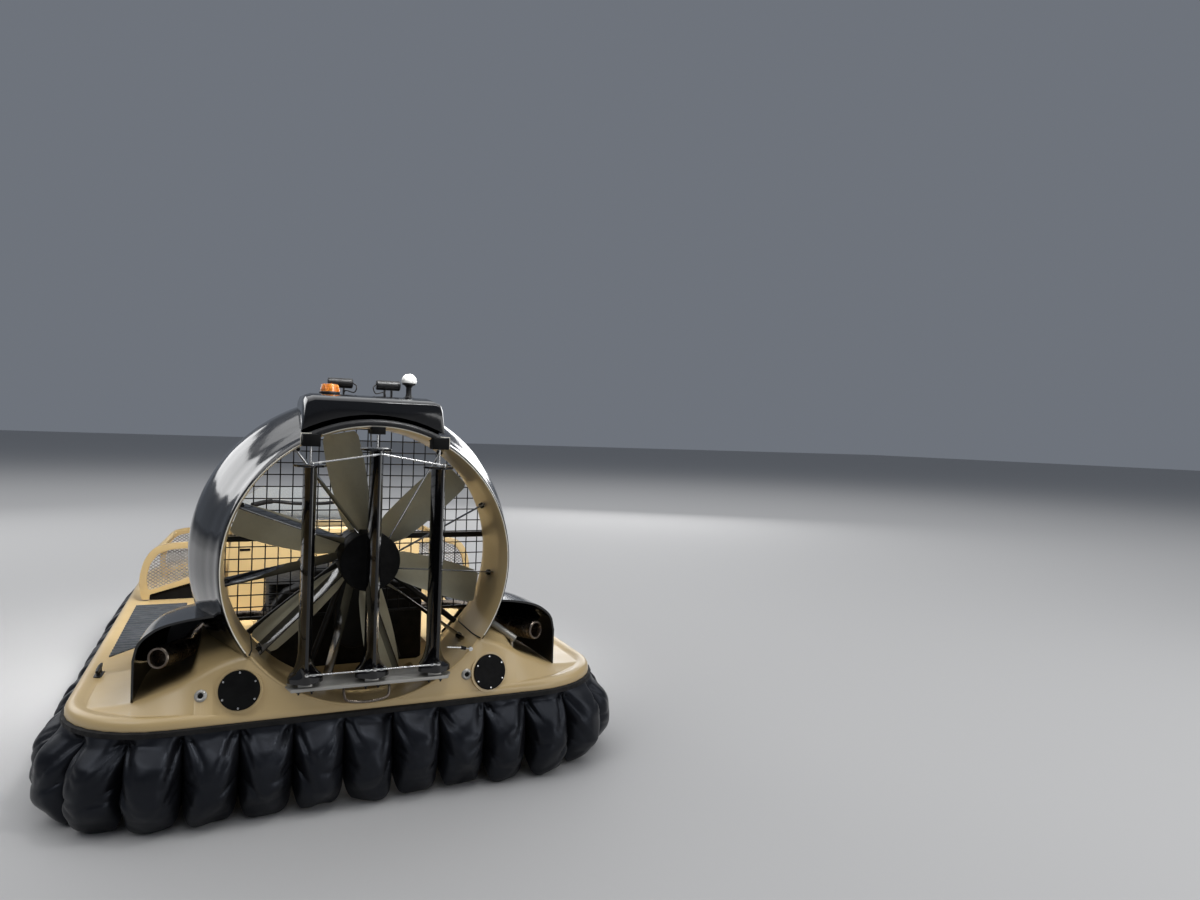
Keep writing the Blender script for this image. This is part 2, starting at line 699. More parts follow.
# %% Walls of the duct
DUCT_INSIDE = ((-2, 512), (90, 503), (280, 503), (340, 512), (400, 534), (470, 562), (530, 592),
               (566, 610))
DUCT_OUTSIDE = ((-6, 518), (10, 524), (50, 533), (100, 548), (150, 562), (200, 578), (300, 607),
                (400, 628), (500, 633), (558, 625))
DUCT_AXIS = place(0, 0, DUCT_Z)


def wall(table, low, high, count, extra=0.0):
    return [(smooth(table, y)[0] + extra, y) for y in steps(low, high, count)]


def bore_core(name):
    inside = wall(DUCT_INSIDE, -2, 566, 44)
    return turned(name, DUCT_AXIS, (0, 1, 0),
                  [(0, -60), (512, -60), *inside, (610, 900), (0, 900)], 144)


def duct_core(name, gap=0.3):
    outside = wall(DUCT_OUTSIDE, -6, 558, 40, gap)
    return turned(name, DUCT_AXIS, (0, 1, 0),
                  [(0, -20), (518, -20), *outside, (625, 900), (0, 900)], 144)


# %% [markdown]
# The hull is sawn where the real one has openings, and split at the seam between its two
# mouldings. Cutting a full shape is simpler than building round the holes, and the edges stay
# true.

# %% Cut and split the decks
HATCH_MIDDLE = {-1: (-441, 13, 447), 1: (457, 13, 428)}
HATCH_OUT = Vector((0.18, -0.97, 0.17)).normalized()
HATCH_R = 68
# x, y and z of the openings
WELL = (-420, 420, 1560, 3040, 330, 900)
BAY = (-370, 370, BAY_REAR, 1400, 330, 900)
SHAFT = (-210, 210, 150, 380, 330, 500)
LOCKER = (-200, 200, 3298, 3542, 470, 800)


def hatch_disc(name, side, radius, low, high, soft=0.0):
    way = Vector((HATCH_OUT.x * side, HATCH_OUT.y, HATCH_OUT.z))
    origin = place(*HATCH_MIDDLE[side])
    profile = [(0, low), (radius, low), (radius, high - soft), (radius - soft, high), (0, high)]
    return turned(name, origin, way, profile, 64)


SEAM_GAP = 0.15
aft = carve(deck_slab("deck_aft_moulding"), [full_width("half", -200, SEAM_Y - SEAM_GAP, 0, 900)],
            "INTERSECT")
carve(aft, [stern_hump("hump"), *(hatch_disc("pad", s, HATCH_R + 9, -40, 2) for _, s in SIDES)],
      "UNION")
carve(aft, [bore_core("bore"), block("bay", *BAY),
            block("well", *WELL),
            block("shaft", *SHAFT),
            *(hatch_disc("seat", s, HATCH_R + 3, 2, 60) for _, s in SIDES)])
dress(aft, sand_gelcoat, instead=["deck_aft"], angle=40)

fore = carve(deck_slab("deck_fore_moulding"), [full_width("half", SEAM_Y + SEAM_GAP, 4200, 0, 900)],
             "INTERSECT")
carve(fore, [block("well", *WELL)])
carve(fore, [foredeck("nose")], "UNION")
carve(fore, [eased(block("locker", *LOCKER), 22, 4)])
dress(fore, sand_gelcoat, instead=["deck_fore"], angle=40)

# %% [markdown]
# ## Skirt
#
# The skirt is a row of separate fabric fingers, 62 round the craft, each an open bag blown out by
# the lift air. Each is widest a third of the way down, tucks in at the top under the rim, and hangs
# in a rounded tongue at the bottom. Cloth simulation would need every bag sewn and inflated, so the
# billow is a rule instead: a swell across each finger, and sharp folds that run in from its seams,
# picked with a seed of its own for each finger. The sheet then gets its real thickness.

# %% Fingers of the skirt
FINGERS = 62
FINGER_STEPS, DROP_STEPS = 32, 46
FINGER_WIDE = 175
SKIRT_TOP = 317.5
# height, how far out the crest stands, and how far out the seam between two fingers stands
FINGER_LEVELS = ((0, 46, -20), (30, 74, -26), (95, 95, -30), (205, 90, -26), (286, 48, -12),
                 (SKIRT_TOP, 8, 2))
FABRIC = 2.0


def folds_of(k):
    """Folds of finger k in millimetres across and down, how full it is, its lean and its lift."""
    pick = Random(900 + k).uniform
    creases = []
    for side in (-1, 1):
        seam = side * 0.5 * FINGER_WIDE
        for _ in range(3):
            creases.append(((seam * pick(0.75, 1.0), pick(0, 40)),
                            (seam * pick(0.0, 0.6), pick(70, 160)), pick(12, 22), pick(5, 9)))
        for _ in range(2):
            creases.append(((seam, pick(90, 190)), (seam * pick(0.1, 0.5), pick(150, 240)),
                            pick(14, 24), pick(6, 10)))
    flats = []
    for heading, spread, near, far in ((90, 28, 35, 75), (180, 38, 10, 38), (0, 38, 10, 38),
                                       (-90, 30, 70, 95), (90, 60, 60, 110)):
        angle = math.radians(heading + pick(-spread, spread))
        flats.append((math.cos(angle), math.sin(angle), pick(near, far), pick(0.18, 0.55)))
    return creases, flats, pick(1.02, 1.09), pick(-0.05, 0.05), pick(0, 12)


FOLDS = [folds_of(k) for k in range(FINGERS)]
print(len(FOLDS), "fingers")

# %% [markdown]
# A fold in coated cloth is sharp at the seam and dies out towards the middle of the finger, and
# between folds the cloth lies in flats. Both are written as depths that are taken off the billow.

# %% Folds, creases and flats
FLAT_LIMIT = 20


def crease(fold, across_mm, down_mm):
    """A sharp fold that fades from its first end to its second."""
    (x0, y0), (x1, y1), depth, width = fold
    dx, dy = x1 - x0, y1 - y0
    t = min(max(((across_mm - x0) * dx + (down_mm - y0) * dy) / (dx * dx + dy * dy), 0), 1)
    away = math.hypot(across_mm - x0 - t * dx, down_mm - y0 - t * dy)
    return depth * (1 - 0.75 * t) * math.exp(-away / width)


def flat(facet, across_mm, down_mm):
    """A flat of the fabric that falls away beyond a line."""
    cos, sin, start, rise = facet
    return min(max(across_mm * cos + (down_mm - 150) * sin - start, 0) * rise, FLAT_LIMIT)


# %% [markdown]
# A point of the skirt is found from its finger, its place across and its place down. Rows of such
# points make a sheet, and Solidify gives it the thickness of the cloth.

# %% From fingers to a sheet
def skirt_point(k, t, v):
    """Finger k, t from -0.5 to 0.5 across it, v from 0 at the rim to 1 at the hem."""
    creases, flats, fullness, lean, lift = FOLDS[k % FINGERS]
    hem = 1 + lift * (0.4 + abs(t)) + 82 * abs(2 * t) ** 5
    height = SKIRT_TOP + (hem - SKIRT_TOP) * v
    crest, seam = smooth(FINGER_LEVELS, height)
    shifted = t + lean * v * (1 - abs(2 * t))
    swell = max(0.0, 1 - abs(2 * shifted) ** 3.6) ** 0.5
    down = SKIRT_TOP - height
    depth = sum(crease(fold, t * FINGER_WIDE, down) for fold in creases)
    depth += sum(flat(facet, t * FINGER_WIDE, down) for facet in flats)
    wave = noise.noise(Vector((3.0 * t, 2.4 * v, 17.3 * k)))
    (x, y), (ox, oy) = rim_at((k + t) / FINGERS)
    reach = seam * (1 - swell) + crest * fullness * swell
    reach += (5 * wave - depth) * swell ** 0.6 * min(1, down / 25)
    return place(x + reach * ox, y + reach * oy, height)


def skirt(name, first, last):
    rows = []
    for k in range(first, last + 1):
        for i in range(FINGER_STEPS + 1):
            t = 0.499 * math.sin(math.pi / 2 * (2 * i / FINGER_STEPS - 1))
            rows.append([skirt_point(k, t, v) for v in steps(0, 1, DROP_STEPS)])
    count = DROP_STEPS + 1
    points = [p for row in rows for p in row]
    faces = [(r * count + i, (r + 1) * count + i, (r + 1) * count + i + 1, r * count + i + 1)
             for r in range(len(rows) - 1) for i in range(DROP_STEPS)]
    mesh = bpy.data.meshes.new(name)
    mesh.from_pydata([tuple(p) for p in points], [], faces)
    made = piece(name, mesh)
    area = sum(p.area for p in mesh.polygons)
    thick = made.modifiers.new("fabric", "SOLIDIFY")
    thick.thickness, thick.offset = FABRIC / 1000, 0
    return settle(made), area


# %% [markdown]
# The skirt comes in four lengths, as its solids do. Each is declared as gathered cloth, with the
# flat area that its folds measure.

# %% Four lengths of skirt
for name, first, last in (("stern", -7, 7), ("starboard", 8, 19), ("bow", 20, 42), ("port", 43, 54)):
    made, area = skirt(f"skirt_fingers_{name}", first, last)
    dress(made, coated_fabric, instead=[f"skirt_{name}"], angle=60)
    print(f"fabric of {name}: {area:.2f} square metres")

# %% [markdown]
# ## Duct
#
# The duct is a glass-fibre ring with a flared mouth: sand-coloured inside, glossy black outside,
# with a thin rolled lip at the stern. A lathe profile is the natural way to make it. The liner and
# the outside are separate shells so that each has its own colour up to the lip.

# %% Ring, liner and lip
HANGER_X, RECESS_Z = 230, 1343


def ring_of(name, profile):
    made = turned(name, DUCT_AXIS, (0, 1, 0), profile, 168)
    carve(made, [block("above", -800, 800, -100, 900, DUCT_FOOT_Z + 0.3, 1700)], "INTERSECT")
    cuts = [block("recess", s * HANGER_X - 33, s * HANGER_X + 33, -40, 56, 1250, RECESS_Z)
            for _, s in SIDES]
    return carve(made, cuts)


# %% [markdown]
# The liner and the outside are two thin turnings that meet at the lip. A rubber strip closes the
# seam where the duct stands on the hull, and a dark roll runs under the fairing.

# %% Liner, outside and seam strips
LINER = 3.0
liner = ring_of("duct_liner", [
    *wall(DUCT_INSIDE, -1, 566, 44), *reversed(wall(DUCT_INSIDE, -1, 566, 44, LINER))])
dress(liner, sand_gelcoat)
outside = ring_of("duct_outside", [
    *wall(DUCT_INSIDE, -2, 565, 44, LINER + 0.2), (622, 562), *reversed(wall(DUCT_OUTSIDE, -3, 556, 40)),
    (517, -6)])
dress(outside, black_gelcoat, instead=["duct_ring"], angle=45)

roll = ring_of("lip_roll", [(516, -3), (517, -8), (524, -10), (532, -7), (537, 0), (539, 9), (537, 19),
                            (532, 28), (526, 30), (520, 12)])
dress(carve(roll, [block("under the fairing", -262, 262, -60, 60, 1290, 1450)], "INTERSECT"),
      satin_paint, angle=60)

SEAM_Z = 567


def seam_x(y):
    """Half the width inside the duct at the height of its seam."""
    return math.sqrt(smooth(DUCT_INSIDE, y)[0] ** 2 - (DUCT_Z - SEAM_Z) ** 2) - 0.5


seam_strip = [[place(s * seam_x(y), y, SEAM_Z) for y in steps(4, 556, 40)] for _, s in SIDES]
dress(tubes("duct_seam_strips", seam_strip, 2.6, rubber, 10), rubber)

# %% [markdown]
# ## Fairing, lights and aerial
#
# The black fairing on the duct is a boxy moulding with soft edges. It keeps the CAD form, and only
# its edges are eased, because that is what tells a moulding from a cut block.

# %% Head box and what stands on it
head = eased(copy_of("head_box"), 9, 4)
head.name = "fairing"
dress(head, black_gelcoat, instead=["head_box"])

beacon = turned("beacon_lamp", place(-145, 262, 1498.3), (0, 0, 1), [
    (0, 10), (37, 10), (36.5, 16), (34, 30), (31, 38), (27, 40), (0, 40)], 48)
dress(beacon, amber, instead=["beacon"])
base = turned("beacon_base", place(-145, 262, 1498.3), (0, 0, 1), [
    (0, 0), (40, 0), (40, 7), (38, 9.5), (0, 9.5)], 48)
dress(base, satin_paint)
dome = turned("aerial_dome", place(172, 330, 1498.3), (0, 0, 1), [
    (0, 64), (29, 64), (31, 72), (28.5, 86), (23, 95), (15, 101), (0, 104)], 40)
dress(dome, white_plastic, instead=["antenna"])
stem = turned("aerial_stem", place(172, 330, 1498.3), (0, 0, 1), [
    (0, 0), (22, 0), (22, 5), (14, 9), (11, 20), (11, 46), (17, 54), (27, 58), (27, 63.5), (0, 63.5)], 32)
dress(stem, satin_paint)

# %% [markdown]
# A work light is a short drum between two forks on a foot, with a wire that loops back into the
# fairing. The pieces that touch are joined, because they are one piece in the hand.

# %% Work lights
for side, s in SIDES:
    lamp_at = place(s * 95, 372, 1550.3)
    shell = turned(f"work_lamp_{side}", lamp_at - Vector((0.048, 0, 0)), (1, 0, 0), [
        (0, 0), (17, 0), (20, 3), (20, 93), (17, 96), (0, 96)], 32)
    foot = eased(block("foot", s * 95 - 22, s * 95 + 22, 352, 392, 1498.3, 1503.3), 1.5, 2)
    forks = [eased(block("fork", s * 95 + o - 3, s * 95 + o + 3, 360, 384, 1500, 1546), 1, 2)
             for o in (-14, 14)]
    dress(joined(f"work_light_body_{side}", [shell, foot, *forks]), satin_paint,
          instead=[f"work_light_{side}"])
    lens = turned(f"work_light_lens_{side}", lamp_at + Vector((-0.041, 0.0175, 0)), (1, 0, 0), [
        (0, 0), (8, 0), (8, 82), (0, 82)], 24)
    dress(lens, clear_sheet)
    wire = bent([lamp_at + Vector(p) for p in (
        (s * -0.046, -0.004, 0.004), (s * -0.062, -0.018, -0.012), (s * -0.052, -0.022, -0.036),
        (s * -0.020, -0.016, -0.030), (s * -0.010, -0.012, -0.0505))])
    dress(tubes(f"work_light_wire_{side}", [wire], 2.4, rubber, 10), rubber)

# %% [markdown]
# ## Fan and vanes
#
# Six moulded blades turn in front of eleven fixed vanes. A blade is an aerofoil section that
# narrows and untwists towards the tip, so it is lofted from stations and placed round the hub by
# the repeat tree. Behind it the vanes are thin black sections from a flat hub to the duct wall.

# %% Blades and hub
BLADES, BLADE_PHASE, FAN_Y = 6, 42, 280
BLADE = ((95, 96, 52, 26), (170, 150, 44, 20), (330, 160, 34, 13), (470, 146, 28, 9),
         (493, 120, 27, 6))
SECTION = ((0, 0.0), (0.04, 0.42), (0.14, 0.8), (0.34, 1.0), (0.62, 0.72), (0.88, 0.24), (1, 0.04))


def aerofoil(count=14):
    """Share of the chord and share of half the thickness, all round."""
    top = [(u * u * (3 - 2 * u) - 0.5, smooth(SECTION, u * u * (3 - 2 * u))[0]) for u in steps(0, 1, count)]
    return top + [(c, -0.6 * t) for c, t in reversed(top[1:-1])]


def blade_rings():
    rings = []
    for radius in [*steps(95, 470, 16), *steps(473, 493, 5)]:
        chord, pitch, thick = smooth(BLADE, radius)
        turn_by = math.radians(pitch)
        rings.append([Vector((radius, c * chord * math.sin(turn_by) + t * thick / 2 * math.cos(turn_by),
                              c * chord * math.cos(turn_by) - t * thick / 2 * math.sin(turn_by))) / 1000
                      for c, t in aerofoil()])
    return rings


def round_the_duct(count, phase, y):
    return [(place(0, y, DUCT_Z), Euler((0, -math.radians(phase + 360 * i / count), 0)))
            for i in range(count)]


blades = repeat("fan_blades", loft("blade", blade_rings()),
                round_the_duct(BLADES, BLADE_PHASE, FAN_Y), blade_moulding)
dress(blades, blade_moulding, "fan", instead=["fan"], angle=50)
hub = turned("fan_hub", place(0, FAN_Y, DUCT_Z), (0, 1, 0), [
    (0, -48), (86, -48), (97, -44), (105, -34), (105, 40), (98, 48), (62, 60), (36, 62), (36, 90),
    (0, 90)], 48)
dress(hub, satin_paint, "fan")

# %% [markdown]
# The vanes stand behind the fan and straighten the air. Each is set a little beside the radius and
# turned on its own length, so one function places its points and the repeat tree does the rest.

# %% Vanes
VANES, VANE_PHASE, VANE_Y, VANE_CHORD, HUB_R = 11, -4.4, 175, 100, 112
VANE_OFFSET, VANE_STAGGER, VANE_END = 35, math.radians(10), 501.2


def staggered(radius, along, off):
    """A place on a vane, which stands beside the radius and is turned a little on its own length."""
    cos, sin = math.cos(VANE_STAGGER), math.sin(VANE_STAGGER)
    return Vector((radius, along * cos + off * sin, off * cos - along * sin - VANE_OFFSET)) / 1000


vane = loft("vane", [[staggered(r, VANE_CHORD * c, 4.5 * t) for c, t in aerofoil(12)]
                     for r in steps(92, VANE_END, 6)])
vanes = repeat("vanes", vane, round_the_duct(VANES, VANE_PHASE, VANE_Y), black_gelcoat)
boss = turned("boss", staggered(0, 0, 0), (1, 0, 0), [
    (0, 484), (8, 484), (12, 488), (12, VANE_END), (0, VANE_END)], 20)
bosses = repeat("bosses", boss, round_the_duct(VANES, VANE_PHASE, VANE_Y), satin_paint)
dress(joined("stator_vanes", [vanes, bosses]), black_gelcoat, instead=["stator"])
cap = turned("vane_hub", place(0, VANE_Y, DUCT_Z), (0, 1, 0), [
    (0, -93), (HUB_R - 10, -93), (HUB_R - 3, -91), (HUB_R, -85), (HUB_R, 15), (0, 15)], 72)
dress(cap, dull_black)

# %% [markdown]
# ## Frame, belt cover and guard behind the fan
#
# A tube frame carries the fan's bearings in the mouth of the duct, and a wire grid in front keeps
# hands out. Both are straight lines thickened by the tube tree; the grid is cut to the circle by
# the length of each chord, which is cheaper than sawing.

# %% Tubes and wires
FRAME_Y, TUBE_R = 424, 12
frame_lines = [[place(-541, FRAME_Y, 920), place(541, FRAME_Y, 920)]]
for _, s in SIDES:
    frame_lines.append([place(s * 40, FRAME_Y, 840), place(s * 420, FRAME_Y, 540)])
    frame_lines.append([place(s * 30, FRAME_Y, 830), place(s * 178, FRAME_Y, 400)])
bars = tubes("bars", frame_lines, TUBE_R, satin_paint, 20)
housing = turned("housing", place(0, 378, DUCT_Z), (0, 1, 0), [
    (0, 0), (56, 0), (62, 6), (62, 72), (56, 78), (0, 78)], 48)
dress(joined("fan_frame_tubes", [bars, housing]), satin_paint, instead=["fan_frame"])
dress(eased(copy_of("belt_cover", "belt_case"), 6, 3), satin_paint, instead=["belt_cover"])

# %% [markdown]
# The guard is a grid of wires inside a hoop. Crossing wires touch and don't merge, as on a real
# welded grid.

# %% Guard grid
GUARD_R, GUARD_Y, WIRE_PITCH, WIRE_R = 596, 566.3, 50, 2.5
SILL_Z = DUCT_FOOT_Z + 12
wires = []
for k in range(-11, 12):
    at = k * WIRE_PITCH
    reach = math.sqrt(GUARD_R**2 - at**2)
    low = max(DUCT_Z - reach, SILL_Z)
    wires.append([place(at, GUARD_Y + 3, low), place(at, GUARD_Y + 3, DUCT_Z + reach)])
    if DUCT_Z + at > SILL_Z:
        wires.append([place(-reach, GUARD_Y + 7.5, DUCT_Z + at), place(reach, GUARD_Y + 7.5, DUCT_Z + at)])
grid = tubes("grid", wires, WIRE_R, satin_paint, 8)
hoop_angle = math.asin((DUCT_Z - SILL_Z) / GUARD_R)
hoop = tubes("hoop", [[place(GUARD_R * math.cos(a), GUARD_Y + 6, DUCT_Z + GUARD_R * math.sin(a))
                       for a in steps(-hoop_angle, math.pi + hoop_angle, 96)]], 6, satin_paint, 12)
sill = eased(block("sill", -545, 545, GUARD_Y, GUARD_Y + 12, DUCT_FOOT_Z + 0.5, SILL_Z), 2, 2)
dress(joined("guard_grid", [grid, hoop, sill]), satin_paint, instead=["fan_guard"])

# %% [markdown]
# ## Rudders and their rods
#
# Three black rudders stand in the jet. Each is a slim aerofoil whose foot flares out to a heel, with
# a plate on top for the tie rod. Sections with a flare table make the heel flow into the blade.

# %% Rudders
RUDDER_SECTION = ((-70, 5, 8), (-22, 20, 60), (20, 24, 52), (50, 16, 30), (64, 5, 12))
RUDDER_FLARE = ((0, 1.0), (14, 1.0), (39, 0.45), (66, 0.15), (90, 0.0))
RUDDER_FOOT = 466
RUDDERS = (("port", -230, 1228, 1227, 1243, 1300), ("centre", 0, 1290, 1289, 1280, 1350),
           ("starboard", 230, 1228, 1227, 1243, 1300))
CAP_PLAN = ((-58, 14), (-44, 42), (44, 42), (58, 14), (40, -48), (9, -70), (9, -95), (-9, -95),
            (-9, -70), (-40, -48))
ARM_Y, ROD_Z = -86, 505


def rudder_ring(x, z, share):
    halves = []
    for u in steps(0, 1, 18):
        y = -70 + 134 * (1 - math.cos(math.pi * u)) / 2
        blade_half, foot_half = smooth(RUDDER_SECTION, y)
        end = min(1.0, 4 * math.sqrt(u * (1 - u)) + 0.15)
        halves.append((y, end * (blade_half + (foot_half - blade_half) * share)))
    return [place(x + h, y, z) for y, h in halves] + [place(x - h, y, z) for y, h in reversed(halves)]


for side, x, top, cap_z, rod_z, hanger_z in RUDDERS:
    heights = [*steps(0, 96, 20), *steps(150, top - RUDDER_FOOT, 6)]
    blade = loft("blade", [rudder_ring(x, RUDDER_FOOT + h, smooth(RUDDER_FLARE, h)[0]) for h in heights])
    plate = eased(loft("plate", [[place(x + a, b, z) for a, b in rounded(CAP_PLAN, 8, 3, True)]
                                 for z in (cap_z, cap_z + 8)]), 1.2, 2)
    horn = eased(block("horn", x - 7, x + 7, -95, -60, ROD_Z + 8, ROD_Z + 14), 1.5, 2)
    dress(joined(f"rudder_blade_{side}", [blade, plate, horn]), black_gelcoat, f"rudder_{side}",
          instead=[f"rudder_{side}"])
    low, high = (rod_z + 6, cap_z + 1) if rod_z < cap_z else (cap_z + 7, rod_z - 6)
    pins = tubes(f"rudder_pins_{side}", [
        [place(x, 0, top), place(x, 0, hanger_z - 2)], [place(x, 0, 462), place(x, 0, 471)],
        [place(x, ARM_Y, low), place(x, ARM_Y, high)],
        [place(x, ARM_Y, ROD_Z + 5.5), place(x, ARM_Y, ROD_Z + 9)]], 3.6, steel, 16)
    dress(pins, steel, f"rudder_{side}")
strip = eased(block("rudder_top_strip", -66, 34, -36, -26, 1297.5, 1303), 1, 2)
dress(strip, steel, "rudder_centre")

# %% [markdown]
# Two rods tie the three rudders together, above and below. A rod is a thin bar with an eye at each
# rudder's arm and lock nuts near its ends, with which its length is set.

# %% Tie rods with their ball ends
ROD_EYE = [(0, -5), (4, -5), (7, -3), (7, 3), (4, 5), (0, 5)]
for level_name, heights in (("upper", [r[4] for r in RUDDERS]), ("lower", [ROD_Z] * 3)):
    ends = [place(r[1], ARM_Y, z) for r, z in zip(RUDDERS, heights)]
    bars = tubes("bars", [ends[:2], ends[1:]], 3, steel, 16)
    eyes = [turned("eye", end, (0, 0, 1), ROD_EYE, 24) for end in ends]
    nuts = tubes("nuts", [[a + (b - a) * t, a + (b - a) * (t + 0.05)]
                          for a, b in (ends[:2], ends[1:]) for t in (0.08, 0.87)], 4.5, steel, 6)
    dress(joined(f"tie_rod_{level_name}_bar", [bars, *eyes, nuts]), steel, "tie_rods",
          instead=[f"tie_rod_{level_name}"])

# %% [markdown]
# The rudders hang from black blocks under the lip of the duct and stand on an aluminium shelf. A
# bent bar below the shelf is a hand hold. The blocks and the shelf keep their CAD form.

# %% Hangers, shelf and handle
for side, *_ in RUDDERS:
    dress(eased(copy_of(f"hanger_{side}", f"hanger_block_{side}"), 1.5, 2), dull_black,
          instead=[f"hanger_{side}"])
dress(eased(copy_of("splitter_shelf", "shelf_plate"), 2, 2), aluminium,
      instead=["splitter_shelf"])
handle_path = bent([place(*p) for p in (
    (-96, -14, 435.5), (-97, -30, 412), (-84, -40, 388), (-17, -42, 379), (50, -40, 388),
    (63, -30, 412), (62, -14, 435.5))])
dress(tubes("handle_bar", [handle_path], 5, hot_steel, 16), hot_steel, instead=["grab_handle"])

# %% [markdown]
# Small things tell the size of a large one: bolts through the shelf, studs in the lip, the pale
# bare edge of the moulding, and the end of the cable that moves the rudders.

# %% Bolts, lip edges and the steering cable
shelf_bolts = [[place(r[1] + o, -34, z) for z in (437, 424)] for r in RUDDERS for o in (-22, 22)]
shelf_nuts = [[place(r[1] + o, -34, z) for z in (436.2, 431)] for r in RUDDERS for o in (-22, 22)]
dress(joined("shelf_bolts", [tubes("bolts", shelf_bolts, 3.5, satin_paint, 12),
                             tubes("nuts", shelf_nuts, 7, satin_paint, 6)]), satin_paint)

LIP_STUDS = ((-251, 1332), (-209, 1345), (-21, 1389), (21, 1389), (209, 1345), (251, 1332))
studs = tubes("studs", [[place(x, 26, z), place(x, 26, z + 16)] for x, z in LIP_STUDS], 3, steel, 12)
stud_nuts = tubes("nuts", [[place(x, 26, z + 7), place(x, 26, z + 13)] for x, z in LIP_STUDS], 6.5, steel, 6)
dress(joined("lip_studs", [studs, stud_nuts]), steel)

LIP_R, LIP_Y = 513.5, -4


def lip_arc(low, high, count):
    """Points on the lip of the duct between two angles from the top, in degrees."""
    angles = [math.radians(a) for a in steps(low, high, count)]
    return [place(LIP_R * math.sin(a), LIP_Y, DUCT_Z + LIP_R * math.cos(a)) for a in angles]


NOTCH_IN, NOTCH_OUT, FOOT = 21.9, 31.2, 124
notch = [(s, [place(s * x, LIP_Y, z) for x, z in ((194, RECESS_Z + 3), (266, RECESS_Z + 3))])
         for _, s in SIDES]
dress(tubes("lip_edge", [
    [*lip_arc(-FOOT, -NOTCH_OUT, 60), *notch[0][1][::-1], *lip_arc(-NOTCH_IN, NOTCH_IN, 40),
     *notch[1][1], *lip_arc(NOTCH_OUT, FOOT, 60)]], 2.1, edge_gelcoat, 10), edge_gelcoat)

cable = [place(276, -24, 549), place(334, -13, 540), place(352, -9, 535), place(376, 2, 528)]
dress(joined("steering_cable_end", [
    tubes("rod", [cable[:2], cable[2:]], 3, steel, 12),
    turned("lug", cable[3], (0, 1, 0), [(0, -4), (8, -4), (8, 8), (0, 8)], 16)]), steel)
dress(tubes("steering_cable_joint", [cable[1:3]], 7, rubber, 16), rubber)

# %% [markdown]
# ## Exhaust hoods and silencers
#
# Each hood is a thin black moulding, open to the stern, that fairs the duct into the side deck. It
# is lofted twice, once for the outside and once for the hollow, and then sawn where it meets the
# duct and the hump.

# %% Hoods
HOOD = ((150, 782, 396, 540, 684), (400, 775, 388, 532, 676), (620, 748, 380, 512, 648),
        (735, 715, 376, 480, 600))
HOOD_ARCH = ((0, 0.0), (12, 0.36), (37, 0.58), (82, 0.78), (132, 0.88), (182, 0.94), (262, 1.0))


def hood_skin(name, side, low, high, shrink):
    rings = []
    for y in steps(low, high, 24):
        outer, foot, shoulder, crown = smooth(HOOD, y)
        o, c, s = outer - shrink, crown - shrink, shoulder - shrink / 2
        base = foot - (60 if shrink else 0)
        arch = [(o - 262 * u * u, s + (c - s) * smooth(HOOD_ARCH, 262 * u * u)[0]) for u in steps(0, 1, 30)]
        rings.append([place(side * x, y, z) for x, z in [(o, base), *arch, (440, c), (440, base)]])
    return loft(name, rings)


for side, s in SIDES:
    shell = hood_skin(f"hood_shell_{side}", s, 150, 735, 0)
    carve(shell, [hood_skin("hollow", s, 130, 729, 7), duct_core("duct"), stern_hump("hump", 1),
                  full_width("deck", -100, 1000, 0, DECK_Z + 0.3)])
    dress(largest(shell), black_gelcoat, instead=[f"hood_{side}"], angle=40)

# %% [markdown]
# A silencer is a turned can with a rolled end, tinted by heat. Its header bends in from the
# engine, and a thin cooling pipe stands beside the starboard one on two feet.

# %% Silencers
for side, s in SIDES:
    inner, tip = place(s * 620, 340, 527.5), place(s * 704, 162, 540.5)
    length = (tip - inner).length * 1000
    made = turned(f"silencer_can_{side}", inner, tip - inner, [
        (0, 0), (34, 0), (40, 5), (40, 60), (41.5, 62), (41.5, 66), (40, 68), (40, length - 26),
        (37, length - 12), (38.5, length - 9), (38.5, length - 3), (36, length), (30, length),
        (28, length - 3), (28, length - 70), (0, length - 70)], 48)
    dress(made, hot_steel, instead=[f"silencer_{side}"])
    header = bent([place(s * x, y, z) for x, y, z in (
        (300, 800, 520), (400, 790, 535), (520, 690, 548), (600, 520, 535), (620, 345, 528))])
    dress(tubes(f"exhaust_header_{side}", [header], 21, hot_steel, 24), hot_steel)

PIPE = (place(532, 225, 567), place(612, 162, 509))
dress(tubes("cooling_pipe", [list(PIPE)], 14, aluminium, 28), aluminium)
PIPE_FEET = [[place(548, 212, 550), place(552, 222, 492)], [place(600, 171, 512), place(604, 180, 446)]]
dress(tubes("cooling_pipe_feet", PIPE_FEET, 6, aluminium, 12), aluminium)

# %% [markdown]
# ## Hatches, bungs and their screws
#
# The round inspection covers are black discs held by six stainless screws, each beside a small
# drain bung. The screws are one pan head, repeated on points that know which way is out.

# %% Covers and screws
def pan_head(name, radius):
    return turned(name, Vector((0, 0, 0)), (0, 0, 1), [
        (0, -1), (radius, -1), (radius, 0.3 * radius), (0.8 * radius, 0.55 * radius),
        (0.35 * radius, 0.62 * radius), (0.3 * radius, 0.35 * radius), (0, 0.35 * radius)], 12)


for side, s in SIDES:
    cover = hatch_disc(f"hatch_cover_{side}", s, HATCH_R, 2.3, 9, 2)
    dress(cover, dull_black, instead=[f"hatch_{side}"])
    way = Vector((HATCH_OUT.x * s, HATCH_OUT.y, HATCH_OUT.z))
    a, b = across(way)
    spots = [(place(*HATCH_MIDDLE[s]) + (a * math.cos(t) + b * math.sin(t)) * 0.06 + way * 0.009, way)
             for t in steps(math.pi / 6, math.pi * 13 / 6, 6)[:-1]]
    dress(repeat(f"hatch_screws_{side}", pan_head("screw", 3.8), spots, steel), steel)


# %% [markdown]
# A bung needs the place of the transom and the way out of it. Both come from the hump's own table,
# so the bung sits flush wherever it is moved.

